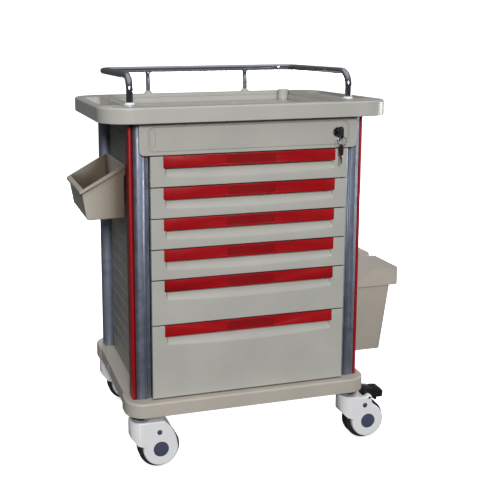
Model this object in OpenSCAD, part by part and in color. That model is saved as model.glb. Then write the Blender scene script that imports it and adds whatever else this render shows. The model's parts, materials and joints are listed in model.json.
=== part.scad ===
// Wheeled drawer trolley for a hospital ward: moulded base and table top, four extruded posts,
// six lockable drawers, a guard rail, two lidded bins, an open side box and four casters.
// Everything is drawn in the cabinet's own frame and moved once, by place(), so that the
// origin is the centre of the whole trolley's footprint, on the floor.

/* [Table top] */
// Width of the table top
table_w = 700; // [680:2:720]
// Depth of the table top
table_d = 475; // [470:1:490]
// Height of the table top's rim above the floor
table_h = 856; // [850:1:870]
// Height of the table top's moulding
table_t = 36; // [34:1:40]
// Corner radius of the table top
table_r = 74; // [60:2:80]
// Depth of the tray sunk into the table top
tray_sink = 25; // [20:1:27]
// Height of the guard rail's axis above the rim
rail_rise = 66; // [60:1:90]

/* [Cabinet] */
// Width between the inner faces of the posts
bay_w = 500; // [490:2:510]
// Width of one post, seen from the front
post_w = 31; // [28:1:34]
// Depth of one post
post_d = 45; // [40:1:50]
// Distance between the front faces of the front and back posts
post_span = 406; // [400:2:410]
// Height of the lock fascia
fascia_h = 74; // [70:1:78]

/* [Base and casters] */
// Width of the moulded base
base_w = 608; // [590:2:620]
// Depth of the moulded base
base_d = 468; // [460:2:474]
// Height of the base's underside above the floor
base_z = 136; // [134:1:144]
// Height of the base's moulding
base_t = 34; // [30:1:38]
// Diameter of a caster's wheel
wheel_dia = 100; // [96:1:102]
// Distance from a caster's swivel axis to its axle
trail = 42; // [40:1:44]

/* [Drawers] */
// Height of a small drawer, with its gap
small_h = 72; // [70:1:73]
// Height of the medium drawer, with its gap
medium_h = 108; // [100:1:110]
// Width of a drawer front
front_w = 480; // [470:1:484]
// Height of the red handle strip
strip_h = 27; // [24:1:30]

/* [Side fittings] */
// Length of a waste bin's lid along the trolley
bin_len = 129; // [120:1:135]
// Height of a waste bin with its lid
bin_h = 219; // [200:1:230]
// Length of the open side box along the trolley
box_len = 212; // [180:2:230]

/* [Hidden] */

$fn = 48;
overcut = 1;
fit_gap = 0.3;
run_gap = 0.05;

beige = [0.69, 0.68, 0.63];
warm_beige = [0.64, 0.61, 0.56];
red = [0.62, 0.06, 0.08];
alloy = [0.62, 0.65, 0.70];
steel = [0.75, 0.76, 0.78];
white = [0.86, 0.86, 0.86];
black = [0.09, 0.09, 0.10];

// Table top
table_under = table_h - table_t;
tray_w = 516;
tray_d = 414;
tray_r = 32;
tray_floor = table_h - tray_sink;
ledge_drop = 10;
ledge_w = 4;
skin = 4;
pocket_w = 46;
pocket_l = 290;
pocket_sink = 22;
pocket_x = 310;
rail_x = 271;
rail_front_y = -150;
rail_back_y = 222;
rail_r = 8;
rail_z = table_h + rail_rise;
rail_foot_bend = 36;
rail_plan_bend = 46;
support_x = 140;
support_r = 6;
socket_deep = 16;
pole_x = 244;
pole_y = 193;
pole_boss_r = 15;
pole_bore_r = 9.6;
pole_bore_deep = 25;
pole_boss_rise = 4;

// Cabinet
base_top = base_z + base_t;
base_r = 46;
waist = 6;
waist_to = 122;
frame_h = table_under - base_top;
bay_half = bay_w / 2;
post_out = bay_half + post_w;
post_front = post_span / 2;
post_wall = 2.5;
post_round = 13;
strip_proud = 5;
strip_slot = 4;
strip_len = 33;
strip_inset = 3;
strip_back = post_front - 5 - strip_len;
panel_out = bay_half + 12;
panel_t = 6;
groove_pitch = 34;
groove_deep = 1.6;
back_in = 190;
back_t = 4;

// Lock fascia
face_y = -214;
fascia_half = 265;
fascia_r = 12;
fascia_wall = 3.5;
fascia_bottom = table_under - fascia_h;
inset_w = 488;
inset_h = 56;
inset_r = 12;
line_w = 1.6;
line_deep = 1;
plug_x = 234;
plug_w = 13;
plug_h = 41;
lock_x = 213;
lock_z = 784;
barrel_r = 9;
barrel_back = 188;

// Lock cam and bar
cam_high = 18;
bar_drop = 9;
quarter = 90;
cam_front = 174;
cam_back = 180;
shaft_r = 4;
bar_y = 183;
bar_t = 3;
bar_w = 20;
bar_low = 192;
bar_high = 812;
nose_r = 2;
nose_gap = 0.5;
dog_w = 14;
dog_front = 173.5;
tongue_t = 3.5;
tongue_h = 8;
arm_t = 4;
lip_h = 8;
lip_t = 2;
lip_back = 181;

// Key
key_t = 3;
key_head_d = 22;
key_head_h = 28;
key_head_r = 8;
key_head_front = -246;
key_hole_r = 2.5;
key_hole_y = -240;
key_hole_drop = 9;
ring_r = 11;
wire_r = 0.9;
key_blade_h = 7;

// Drawers
drawer_gap = 2;
drawer_top = fascia_bottom - drawer_gap;
stack_bottom = base_top + drawer_gap;
large_h = drawer_top - stack_bottom - 4 * small_h - medium_h + drawer_gap;
front_t = 24;
front_back = face_y + front_t;
strip_half = 210;
strip_t = 5;
label_w = 116;
label_h = 19;
pull_half = 207;
pull_deep = 15;
pull_end = 20;
pull_sag = 7;
rear_wall = 4;
tray_half = 222;
tray_back = 170;
tray_wall = 2.5;
tray_lift = 7;
tray_short = 15;
hook_up = 20;
runner_up = 14;
runner_t = 2.5;
runner_h = 20;
runner_front = -186;
runner_back = 168;
tongue_half = 7;
tongue_out = 238;
channel_half = 9;
channel_t = 2;
channel_in = 228;
channel_front = -188;
channel_back = 180;

// Bins
bin_top = 416;
bin_pitch = 151;
lid_out = 433;
lid_in = 299.4;
lid_skirt = 44;
lid_wall = 3;
body_in = 303;
body_out = 420;
body_foot_out = 395;
bin_wall = 3;
bin_r = 10;
hinge_x = 293;
hinge_z = bin_top - 11;
knuckle_r = 6;
knuckle_from = 12.4;
knuckle_to = 30;
hinge_pin_r = 2.5;
hanger_x = 284;
hanger_t = 3;
hanger_low = 330;
hanger_high = 352;
hook_t = 3;
hook_play = 0.5;

// Side box
box_front = -159;
box_in = 290;
box_out = 388;
box_foot_out = 376;
box_mouth_in = 720;
box_mouth_out = 668;
box_low = 596;
box_wall = 3;
box_rim = 4;
box_rim_h = 8;
box_hang_low = 688;
box_hang_high = 706;

// Casters
caster_x = 268;
caster_y = 195;
wheel_r = wheel_dia / 2;
wheel_half = 16;
rim_r = 35;
axle_r = 4;
stem_r = 8;
cup_r = 23;
cup_low = 120.5;
stem_high = 160;
stem_low = 93;
shell_half = 30;
shell_top = 127;
shell_nose = 28;
slot_half = 18.5;
slot_r = wheel_r + 3;
cover_r = 45;
cap_r = 17;
pedal_x = 46;
pedal_z = 112;
pedal_pin_r = 3;
pedal_half = 17.5;
ear_r = 7.5;
rim_half = 21;
pedal_l = 42;

// The trolley's overall reach on each side, which puts the origin under its middle
reach_right = lid_out;
reach_left = box_out + box_rim;
shift_x = (reach_left - reach_right) / 2;
shift_y = (-key_head_front - table_d / 2) / 2;

module place() {
    translate([shift_x, shift_y, 0]) children();
}

// Height of drawer i, counted from the top, without its gap
function drawer_h(i) = (i < 5 ? small_h : i == 5 ? medium_h : large_h) - drawer_gap;

// Height of the underside of drawer i
function drawer_z(i) = i == 1 ? drawer_top - drawer_h(1) : drawer_z(i - 1) - drawer_gap - drawer_h(i);

module rounded_rect(w, d, r) {
    square([w - 2 * r, d], center = true);
    square([w, d - 2 * r], center = true);
    for (x = [-1, 1], y = [-1, 1]) {
        translate([x * (w / 2 - r), y * (d / 2 - r)]) circle(r);
    }
}

module slab(w, d, r, low, high) {
    translate([0, 0, low]) linear_extrude(high - low) rounded_rect(w, d, r);
}

// A block given by its two opposite corners
module block(a, b) {
    translate(a) cube(b - a);
}

module along_y(x, z, r, from, to) {
    translate([x, from, z]) rotate([-90, 0, 0]) cylinder(r = r, h = to - from);
}

// A flat outline in X and Z, made solid between two Y values
module side_on(from, to) {
    translate([0, to, 0]) rotate([90, 0, 0]) linear_extrude(to - from) children();
}

// ---------------------------------------------------------------- base

module base_outline(inset) {
    rounded_rect(base_w - 2 * waist - 2 * inset, base_d - 2 * inset, base_r - inset);
    for (side = [-1, 1]) {
        translate([0, side * (waist_to + base_d / 2) / 2]) {
            rounded_rect(base_w - 2 * inset, base_d / 2 - waist_to - 2 * inset, base_r - inset);
        }
    }
}

module base() {
    rib_t = 3;
    boss_r = 24;
    color(warm_beige) place() difference() {
        union() {
            difference() {
                translate([0, 0, base_z]) linear_extrude(base_t) base_outline(0);
                translate([0, 0, base_z - overcut]) {
                    linear_extrude(base_t - skin + overcut) base_outline(skin);
                }
            }
            for (x = [-1, 1], y = [-1, 1]) {
                translate([x * caster_x, y * caster_y, base_z]) cylinder(r = boss_r, h = base_t - 1);
            }
            for (x = [-180, -60, 60, 180]) {
                block([x - rib_t / 2, -base_d / 2 + 2, base_z + 8],
                      [x + rib_t / 2, base_d / 2 - 2, base_top - 1]);
            }
            for (y = [-120, 0, 120]) {
                block([-base_w / 2 + waist + 2, y - rib_t / 2, base_z + 8],
                      [base_w / 2 - waist - 2, y + rib_t / 2, base_top - 1]);
            }
        }
        for (x = [-1, 1], y = [-1, 1]) {
            translate([x * caster_x, y * caster_y, base_z - overcut]) {
                cylinder(r = stem_r + run_gap, h = stem_high - base_z + overcut);
            }
        }
        for (side = [-1, 1]) {
            block([side * base_w / 2 - 8, 22, base_z + 9], [side * base_w / 2 + 8, 58, base_top - 9]);
        }
    }
}

// ---------------------------------------------------------------- table top

module pocket_block(grow) {
    for (side = [-1, 1]) {
        translate([side * pocket_x, 5, 0]) {
            slab(pocket_w + 2 * grow, pocket_l + 2 * grow, 14 + grow,
                 table_h - pocket_sink - grow, table_h + overcut);
        }
    }
}

module tabletop() {
    ledge_z = table_h - ledge_drop;
    color(beige) place() difference() {
        union() {
            difference() {
                slab(table_w, table_d, table_r, table_under, table_h);
                difference() {
                    slab(table_w - 2 * skin, table_d - 2 * skin, table_r - skin,
                         table_under - overcut, table_h - skin);
                    slab(tray_w + 2 * skin, tray_d + 2 * skin, tray_r + skin,
                         tray_floor - skin, table_h);
                    intersection() {
                        pocket_block(skin);
                        slab(table_w, table_d, table_r, table_under, table_h);
                    }
                    table_pads();
                }
            }
            translate([pole_x, pole_y, tray_floor - skin]) {
                cylinder(r = pole_boss_r, h = table_h + pole_boss_rise - tray_floor + skin);
            }
        }
        difference() {
            union() {
                slab(tray_w, tray_d, tray_r, ledge_z, table_h + overcut);
                slab(tray_w - 2 * ledge_w, tray_d - 2 * ledge_w, tray_r - ledge_w,
                     tray_floor, ledge_z + overcut);
            }
            translate([pole_x, pole_y, tray_floor - overcut]) {
                cylinder(r = pole_boss_r, h = 2 * tray_sink);
            }
        }
        pocket_block(0);
        translate([pole_x, pole_y, table_h + pole_boss_rise - pole_bore_deep]) {
            cylinder(r = pole_bore_r, h = pole_bore_deep + overcut);
        }
        rail_sockets();
    }
}

// Solid pads under the table top, over the posts, the fascia and the rail's feet
module table_pads() {
    for (x = [-1, 1], y = [-1, 1]) {
        translate([x * (post_out - post_w / 2), y * (post_front - post_d / 2), 0]) {
            slab(post_w + 6, post_d + 6, 4, table_under, table_h);
        }
    }
    block([-bay_half, face_y, table_under], [bay_half, face_y + 16, tray_floor]);
    for (x = [-1, 1]) {
        translate([x * rail_x, rail_front_y, table_under + 6]) cylinder(r = 12, h = table_t - 6);
        translate([x * support_x, rail_back_y, table_under + 6]) cylinder(r = 10, h = table_t - 6);
    }
}

module rail_sockets() {
    for (x = [-1, 1]) {
        translate([x * rail_x, rail_front_y, table_h - socket_deep]) {
            cylinder(r = rail_r + 0.1, h = socket_deep + overcut);
        }
        translate([x * support_x, rail_back_y, table_h - socket_deep]) {
            cylinder(r = support_r + 0.1, h = socket_deep + overcut);
        }
    }
}

// The rail's whole route as a bent rod, its feet in the table's sockets
module rail_route(foot_z) {
    level_y = rail_front_y + rail_foot_bend;
    corner_y = rail_back_y - rail_plan_bend;
    corner_x = rail_x - rail_plan_bend;
    for (side = [0, 1]) mirror([side, 0, 0]) {
        translate([rail_x, rail_front_y, foot_z]) {
            cylinder(r = rail_r, h = rail_z - rail_foot_bend - foot_z);
        }
        translate([rail_x, level_y, rail_z - rail_foot_bend]) rotate([90, 0, -90]) {
            rotate_extrude(angle = quarter) translate([rail_foot_bend, 0]) circle(rail_r);
        }
        along_y(rail_x, rail_z, rail_r, level_y, corner_y);
        translate([corner_x, corner_y, rail_z]) {
            rotate_extrude(angle = quarter) translate([rail_plan_bend, 0]) circle(rail_r);
        }
    }
    translate([-corner_x, rail_back_y, rail_z]) rotate([0, 90, 0]) {
        cylinder(r = rail_r, h = 2 * corner_x);
    }
}

module guard_rail() {
    foot_z = table_h - socket_deep;
    color(steel) place() {
        rail_route(foot_z);
        for (x = [-1, 1]) {
            translate([x * support_x, rail_back_y, foot_z]) {
                cylinder(r = support_r, h = rail_z - rail_r / 2 - foot_z);
            }
        }
    }
}

module rail_collars() {
    collar_h = 5;
    color(white) place() for (x = [-1, 1]) {
        translate([x * rail_x, rail_front_y, table_h]) difference() {
            cylinder(r = rail_r + 3, h = collar_h);
            translate([0, 0, -overcut]) cylinder(r = rail_r + 0.1, h = collar_h + 2 * overcut);
        }
        translate([x * support_x, rail_back_y, table_h]) difference() {
            cylinder(r1 = support_r + 4, r2 = support_r + 1.5, h = collar_h);
            translate([0, 0, -overcut]) cylinder(r = support_r + 0.1, h = collar_h + 2 * overcut);
        }
    }
}

// ---------------------------------------------------------------- frame

// Plan of the front right post; the other three are its mirror images
module post_plan(outer, slotted) {
    difference() {
        union() {
            translate([bay_half, -post_front + post_round]) square([outer - bay_half, post_d - post_round]);
            translate([bay_half, -post_front]) square([outer - bay_half - post_round, post_d]);
            translate([outer - post_round, -post_front + post_round]) circle(post_round);
        }
        translate([bay_half + post_wall, -post_front + post_wall + 4]) {
            square([outer - bay_half - 2 * post_wall - strip_slot, post_d - 2 * post_wall - 4]);
        }
        if (slotted) {
            translate([outer - strip_slot, -strip_back - strip_len + strip_inset]) {
                square([strip_slot + overcut, strip_len - 2 * strip_inset]);
            }
        }
    }
}

module post(outer, slotted) {
    color(alloy) place() children_mirrored(slotted) {
        translate([0, 0, base_top]) linear_extrude(frame_h) post_plan(outer, slotted);
    }
}

// Front posts stay where they are drawn, back posts are mirrored to the back
module children_mirrored(front) {
    mirror([0, front ? 0 : 1, 0]) children();
}

module left_hand() {
    place() mirror([1, 0, 0]) translate([-shift_x, -shift_y, 0]) children();
}

module post_front_right() {
    post(post_out, true);
}

module post_front_left() {
    left_hand() post(post_out, true);
}

module post_back_right() {
    post(post_out + strip_proud, false);
}

module post_back_left() {
    left_hand() post(post_out + strip_proud, false);
}

module accent_strips() {
    nib = strip_proud / 2;
    color(red) place() for (side = [0, 1]) mirror([side, 0, 0]) {
        translate([0, 0, base_top]) linear_extrude(frame_h) {
            translate([post_out - strip_slot, -strip_back - strip_len + strip_inset]) {
                square([strip_slot, strip_len - 2 * strip_inset]);
            }
            translate([post_out, -strip_back - strip_len]) square([strip_proud - nib, strip_len]);
            translate([post_out, -strip_back - strip_len + nib]) {
                square([strip_proud, strip_len - 2 * nib]);
            }
            for (y = [-strip_back - nib, -strip_back - strip_len + nib]) {
                translate([post_out + strip_proud - nib, y]) circle(nib);
            }
        }
    }
}

module panel_grooves(length) {
    rows = floor(frame_h / groove_pitch);
    side = groove_deep * sqrt(2);
    for (row = [1 : rows]) {
        translate([0, 0, base_top + row * groove_pitch]) rotate([45, 0, 0]) {
            cube([length + 2 * overcut, side, side], center = true);
        }
    }
}

module side_panel_right() {
    edge = post_front - post_d;
    color(beige) place() difference() {
        block([panel_out - panel_t, -edge, base_top], [panel_out, edge, table_under]);
        translate([panel_out, 0, 0]) rotate([0, 0, 90]) panel_grooves(2 * edge);
    }
}

module side_panel_left() {
    left_hand() side_panel_right();
}

module back_panel() {
    color(beige) place() difference() {
        block([-bay_half, back_in, base_top], [bay_half, back_in + back_t, table_under]);
        translate([0, back_in + back_t, 0]) panel_grooves(bay_w);
    }
}

module lock_fascia() {
    mid_z = fascia_bottom + fascia_h / 2;
    inner_y = face_y + fascia_wall;
    color(beige) place() difference() {
        union() {
            side_on(face_y, -post_front) intersection() {
                translate([0, mid_z + fascia_r]) {
                    rounded_rect(2 * fascia_half, fascia_h + 2 * fascia_r, fascia_r);
                }
                translate([0, mid_z]) square([2 * fascia_half, fascia_h], center = true);
            }
            block([-bay_half + 1, -post_front, fascia_bottom], [bay_half - 1, -barrel_back, table_under]);
        }
        block([-fascia_half + fascia_wall, inner_y, fascia_bottom + fascia_wall],
              [fascia_half - fascia_wall, -post_front - fascia_wall, table_under - fascia_wall]);
        block([-bay_half + 5, inner_y, fascia_bottom + fascia_wall],
              [lock_x - 18, -barrel_back + overcut, table_under - fascia_wall]);
        side_on(face_y - overcut, face_y + line_deep) translate([0, mid_z - 1]) difference() {
            rounded_rect(inset_w, inset_h, inset_r);
            rounded_rect(inset_w - 2 * line_w, inset_h - 2 * line_w, inset_r - line_w);
        }
        for (x = [-plug_x, plug_x]) {
            side_on(face_y - overcut, face_y + line_deep) translate([x, mid_z + 3]) {
                rounded_rect(plug_w, plug_h, plug_w / 2 - 0.01);
            }
        }
        along_y(lock_x, lock_z, barrel_r + run_gap, face_y - overcut, -barrel_back + overcut);
    }
    color(beige) place() for (x = [-plug_x, plug_x]) {
        side_on(face_y + 0.4, face_y + line_deep) translate([x, mid_z + 3]) {
            rounded_rect(plug_w - 1, plug_h - 1, plug_w / 2 - 0.6);
        }
    }
}

// Six pairs of steel channels, screwed to the inner faces of the posts
module drawer_channels() {
    color(steel) place() for (i = [1 : 6], side = [0, 1]) mirror([side, 0, 0]) {
        mid = drawer_z(i) + tray_lift + runner_up;
        difference() {
            block([channel_in, channel_front, mid - channel_half - channel_t],
                  [bay_half, channel_back, mid + channel_half + channel_t]);
            block([channel_in - overcut, channel_front - overcut, mid - channel_half],
                  [bay_half - channel_t, channel_back + overcut, mid + channel_half]);
        }
    }
}

module frame_screws() {
    head_r = 5;
    head_t = 3;
    color(steel) place() {
        for (x = [-1, 1], z = [base_top + 60, base_top + frame_h / 2, table_under - 60]) {
            along_y(x * (bay_half + post_w / 2), z, head_r, post_front, post_front + head_t);
        }
        for (x = [-1, 1], y = [-1, 1]) {
            translate([x * (bay_half + 6), y * (post_front - post_d + 6), 0]) {
                translate([0, 0, base_z + base_t - skin - head_t]) cylinder(r = head_r, h = head_t);
            }
        }
    }
}

// ---------------------------------------------------------------- lock

// The cam's radius falls evenly with the angle, so the bar moves evenly with the key
function cam_point(angle) = (cam_high - bar_drop * max(0, angle) / quarter)
    * [-sin(angle), cos(angle)];

module cam_plan() {
    lead = -12;
    end = quarter + 12;
    hub_r = 7;
    circle(hub_r);
    polygon(concat([[0, 0]], [for (angle = [lead : 6 : end]) cam_point(angle)]));
}

module lock_barrel() {
    flange_t = 3;
    slot_h = key_blade_h + 1;
    color(steel) place() {
        difference() {
            union() {
                along_y(lock_x, lock_z, barrel_r, face_y - fit_gap, -barrel_back + 6);
                along_y(lock_x, lock_z, barrel_r + 2, face_y - fit_gap - flange_t, face_y - fit_gap);
            }
            block([lock_x - key_t / 2 - 0.2, face_y - 10, lock_z - slot_h / 2],
                  [lock_x + key_t / 2 + 0.2, -barrel_back - 2, lock_z + slot_h / 2]);
        }
        along_y(lock_x, lock_z, shaft_r, -barrel_back + 5, cam_back);
        translate([lock_x, 0, lock_z]) side_on(cam_front, cam_back) cam_plan();
    }
}

// A flat key in an upright plane, its blade in the lock and a hole for the ring in its head
module key() {
    head_y = key_head_front + key_head_d / 2;
    blade_len = 22;
    color(black) place() translate([lock_x, head_y, lock_z]) {
        rotate([90, 0, 90]) linear_extrude(key_t, center = true) difference() {
            rounded_rect(key_head_d, key_head_h, key_head_r);
            translate([key_hole_y - head_y, -key_hole_drop]) circle(key_hole_r);
        }
        block([-key_t / 2, key_head_d / 2 - 1, -key_blade_h / 2],
              [key_t / 2, key_head_d / 2 + blade_len, key_blade_h / 2]);
    }
}

// The split ring hangs through the key's hole
module key_ring() {
    color(steel) place() translate([lock_x, key_hole_y, lock_z - key_hole_drop - ring_r]) {
        rotate([90, 0, 0]) rotate_extrude() translate([ring_r, 0]) circle(wire_r, $fn = 24);
    }
}

// Upright bar behind the drawers: it rests on the cam and carries one dog per drawer
module lock_bar() {
    nose_z = lock_z + cam_high + nose_r + nose_gap;
    color(steel) place() {
        block([lock_x - bar_w / 2, bar_y, bar_low], [lock_x + bar_w / 2, bar_y + bar_t, bar_high]);
        along_y(lock_x, nose_z, nose_r, cam_front - 1, bar_y + 1);
        for (i = [1 : 6]) {
            lip_top = drawer_z(i) + tray_lift + hook_up + lip_h;
            low = lip_top + nose_r;
            block([lock_x - dog_w / 2, dog_front, low],
                  [lock_x + dog_w / 2, dog_front + tongue_t, low + tongue_h + 1]);
            block([lock_x - dog_w / 2, dog_front, low + tongue_h],
                  [lock_x + dog_w / 2, bar_y + 1, low + tongue_h + arm_t]);
        }
    }
}

// Three straps that guide the bar, and the hanger that carries the cam shaft's end
module lock_bar_guides() {
    play = 0.5;
    strap = 3;
    half = bar_w / 2 + play;
    color(steel) place() {
        for (z = [240, 430, 600]) {
            difference() {
                block([lock_x - half - strap, bar_y - play - 1.5, z],
                  [lock_x + half + strap, back_in, z + 16]);
                block([lock_x - half, bar_y - play, z - overcut],
                      [lock_x + half, bar_y + bar_t + play, z + 16 + overcut]);
                block([lock_x - half + 2, bar_y - 5, z - overcut],
                      [lock_x + half - 2, bar_y, z + 16 + overcut]);
            }
        }
        difference() {
            union() {
                block([lock_x - 12, 158, lock_z - 10], [lock_x + 12, 162, table_under - 2]);
                block([lock_x - 12, 158, table_under - 5], [lock_x + 12, back_in, table_under - 2]);
            }
            along_y(lock_x, lock_z, shaft_r + run_gap, 150, 170);
        }
    }
}

// ---------------------------------------------------------------- drawers

// Outline of the finger recess under the strip, seen from the front and grown by wall
module pull_outline(top, wall) {
    bottom = top - strip_h - pull_end - wall;
    chord = pull_half + wall;
    arc_r = (chord * chord + pull_sag * pull_sag) / (2 * pull_sag);
    translate([-chord, bottom]) square([2 * chord, top - 4 + wall - bottom]);
    intersection() {
        translate([-chord, bottom - pull_sag]) square([2 * chord, pull_sag + 1]);
        translate([0, bottom - pull_sag + arc_r]) circle(arc_r, $fn = 360);
    }
}

module drawer_front(i) {
    low = drawer_z(i);
    h = drawer_h(i);
    top = low + h;
    seat = strip_half + fit_gap;
    color(beige) place() difference() {
        side_on(face_y, front_back) translate([0, low + h / 2]) rounded_rect(front_w, h, 3);
        block([-seat, face_y - overcut, top - strip_h - fit_gap], [seat, face_y + strip_t, top + overcut]);
        side_on(face_y - overcut, face_y + pull_deep) pull_outline(top, 0);
        side_on(face_y + rear_wall, front_back + overcut) difference() {
            translate([0, low + h / 2]) rounded_rect(front_w - 8, h - 6, 2);
            pull_outline(top, 3);
        }
    }
}

module drawer_handle(i) {
    top = drawer_z(i) + drawer_h(i);
    mid = top - strip_h / 2;
    color(red) place() difference() {
        block([-strip_half, face_y, top - strip_h], [strip_half, face_y + strip_t, top]);
        side_on(face_y - overcut, face_y + 1.2) translate([0, mid]) rounded_rect(label_w, label_h, 2);
    }
}

module drawer_tray(i) {
    low = drawer_z(i) + tray_lift;
    high = drawer_z(i) + drawer_h(i) - tray_short;
    hook = low + hook_up;
    runner = low + runner_up;
    color(beige) place() {
        difference() {
            block([-tray_half, front_back, low], [tray_half, tray_back, high]);
            block([-tray_half + tray_wall, front_back + tray_wall, low + tray_wall],
                  [tray_half - tray_wall, tray_back - tray_wall, high + overcut]);
        }
        block([lock_x - bar_w / 2, tray_back, hook - lip_t], [lock_x + bar_w / 2 - 1, lip_back, hook]);
        block([lock_x - bar_w / 2, lip_back - lip_t, hook - lip_t],
              [lock_x + bar_w / 2 - 1, lip_back, hook + lip_h]);
    }
    color(steel) place() for (side = [0, 1]) mirror([side, 0, 0]) {
        block([tray_half, runner_front, runner - runner_h / 2],
              [tray_half + runner_t, runner_back, runner + runner_h / 2]);
        block([tray_half, runner_front, runner - tongue_half],
              [tongue_out, runner_back, runner + tongue_half]);
    }
}

module drawer_1_front() { drawer_front(1); }
module drawer_1_handle() { drawer_handle(1); }
module drawer_1_tray() { drawer_tray(1); }
module drawer_2_front() { drawer_front(2); }
module drawer_2_handle() { drawer_handle(2); }
module drawer_2_tray() { drawer_tray(2); }
module drawer_3_front() { drawer_front(3); }
module drawer_3_handle() { drawer_handle(3); }
module drawer_3_tray() { drawer_tray(3); }
module drawer_4_front() { drawer_front(4); }
module drawer_4_handle() { drawer_handle(4); }
module drawer_4_tray() { drawer_tray(4); }
module drawer_5_front() { drawer_front(5); }
module drawer_5_handle() { drawer_handle(5); }
module drawer_5_tray() { drawer_tray(5); }
module drawer_6_front() { drawer_front(6); }
module drawer_6_handle() { drawer_handle(6); }
module drawer_6_tray() { drawer_tray(6); }

// ---------------------------------------------------------------- side fittings

// A tapered tub, wide at its mouth and narrow at its foot, shrunk by inset
module tub(inset, low, high) {
    foot_half = bin_len / 2 - 15 - inset;
    mouth_half = bin_len / 2 - 7 - inset;
    hull() {
        translate([(body_in + 2 + body_foot_out) / 2, 0, low]) linear_extrude(1) {
            rounded_rect(body_foot_out - body_in - 2 - 2 * inset, 2 * foot_half, bin_r, $fn = 32);
        }
        translate([(body_in + body_out) / 2, 0, high - 1]) linear_extrude(1) {
            rounded_rect(body_out - body_in - 2 * inset, 2 * mouth_half, bin_r, $fn = 32);
        }
    }
}

module bin_body() {
    foot = bin_top - bin_h;
    mouth = bin_top - 8;
    bracket_half = 12;
    difference() {
        tub(0, foot, mouth);
        tub(bin_wall, foot + bin_wall, mouth + 1);
    }
    difference() {
        union() {
            along_y(hinge_x, hinge_z, knuckle_r, -bracket_half, bracket_half);
            block([hinge_x, -bracket_half, hinge_z - 16], [body_in + 2, bracket_half, hinge_z + 2]);
        }
        block([hinge_x - 3, -bracket_half - 1, hinge_z - 20], [body_in - 2, bracket_half + 1, hinge_z - 8]);
    }
    along_y(hinge_x, hinge_z, hinge_pin_r, -30, 30);
    for (y = [-40, 26]) {
        block([hanger_x - hook_t - hook_play, y, hanger_high + hook_play],
              [body_in + 4, y + 14, hanger_high + hook_play + hook_t]);
        block([hanger_x - hook_t - hook_play, y, hanger_low + 6],
              [hanger_x - hook_play, y + 14, hanger_high + 1]);
    }
}

// The two ends of a lid knuckle, in rising order, on either side of the body's bracket
function near(side) = min(side * knuckle_from, side * knuckle_to);
function far(side) = max(side * knuckle_from, side * knuckle_to);

module bin_lid() {
    half = bin_len / 2;
    deck = bin_top - lid_wall;
    hinge_half = 31;
    difference() {
        translate([(lid_in + lid_out) / 2, 0, 0]) {
            slab(lid_out - lid_in, bin_len, bin_r, bin_top - lid_skirt, bin_top);
        }
        block([lid_in - 1, -half + lid_wall, bin_top - lid_skirt - 1],
              [lid_out - lid_wall, half - lid_wall, deck]);
        block([lid_in - 1, -half - 1, bin_top - lid_skirt - 1], [lid_in + 16, half + 1, bin_top - 18]);
    }
    for (side = [-1, 1]) {
        difference() {
            union() {
                along_y(hinge_x, hinge_z, knuckle_r, near(side), far(side));
                block([hinge_x, near(side), hinge_z], [lid_in, far(side), deck + 1]);
                block([hinge_x, near(side), deck - 1.5], [lid_in + 4, far(side), deck + 1]);
            }
            along_y(hinge_x, hinge_z, hinge_pin_r + run_gap, -hinge_half, hinge_half);
        }
    }
}

module at_bin(which) {
    place() translate([0, which * bin_pitch / 2, 0]) children();
}

module bin_front() {
    color(warm_beige) at_bin(-1) bin_body();
}

module bin_front_lid() {
    color(warm_beige) at_bin(-1) bin_lid();
}

module bin_back() {
    color(warm_beige) at_bin(1) bin_body();
}

module bin_back_lid() {
    color(warm_beige) at_bin(1) bin_lid();
}

// A flat bar on two stand-offs, which the hooks of a fitting drop over
module hanger_bar(from, to, low, high) {
    block([hanger_x, from, low], [hanger_x + hanger_t, to, high]);
    for (y = [from + 4, to - 14]) {
        block([panel_out, y, low + 3], [hanger_x, y + 10, low + 10]);
    }
}

module bin_hanger() {
    color(steel) place() hanger_bar(-150, 150, hanger_low, hanger_high);
}

module side_box_hanger() {
    color(steel) left_hand() place() hanger_bar(-140, 30, box_hang_low, box_hang_high);
}

module box_profile(wall) {
    polygon([[box_in + wall, box_low + wall], [box_foot_out - wall, box_low + wall],
        [box_out - wall, box_mouth_out + wall * 4], [box_in + wall, box_mouth_in + wall * 4]]);
}

module box_rim_profile() {
    polygon([[box_in - 2, box_mouth_in - box_rim_h + 1], [box_out + box_rim, box_mouth_out - box_rim_h - 2],
        [box_out + box_rim, box_mouth_out - 2], [box_in - 2, box_mouth_in + 1]]);
}

module side_box() {
    end = box_front + box_len;
    color(warm_beige) left_hand() place() {
        difference() {
            union() {
                side_on(box_front, end) box_profile(0);
                side_on(box_front - box_rim, end + box_rim) box_rim_profile();
            }
            side_on(box_front + box_wall, end - box_wall) box_profile(box_wall);
            side_on(box_front - 20, end + 20) polygon([[box_in - 20, box_mouth_in + 11.6],
                [box_out + 20, box_mouth_out - 12.6], [box_out + 20, 900], [box_in - 20, 900]]);
        }
        for (y = [-120, -10]) {
            block([hanger_x - hook_t - hook_play, y, box_hang_high + hook_play],
                  [box_in + 1, y + 16, box_hang_high + hook_play + hook_t]);
            block([hanger_x - hook_t - hook_play, y, box_hang_low + 4],
                  [hanger_x - hook_play, y + 16, box_hang_high + 1]);
        }
    }
}

// ---------------------------------------------------------------- casters

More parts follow.
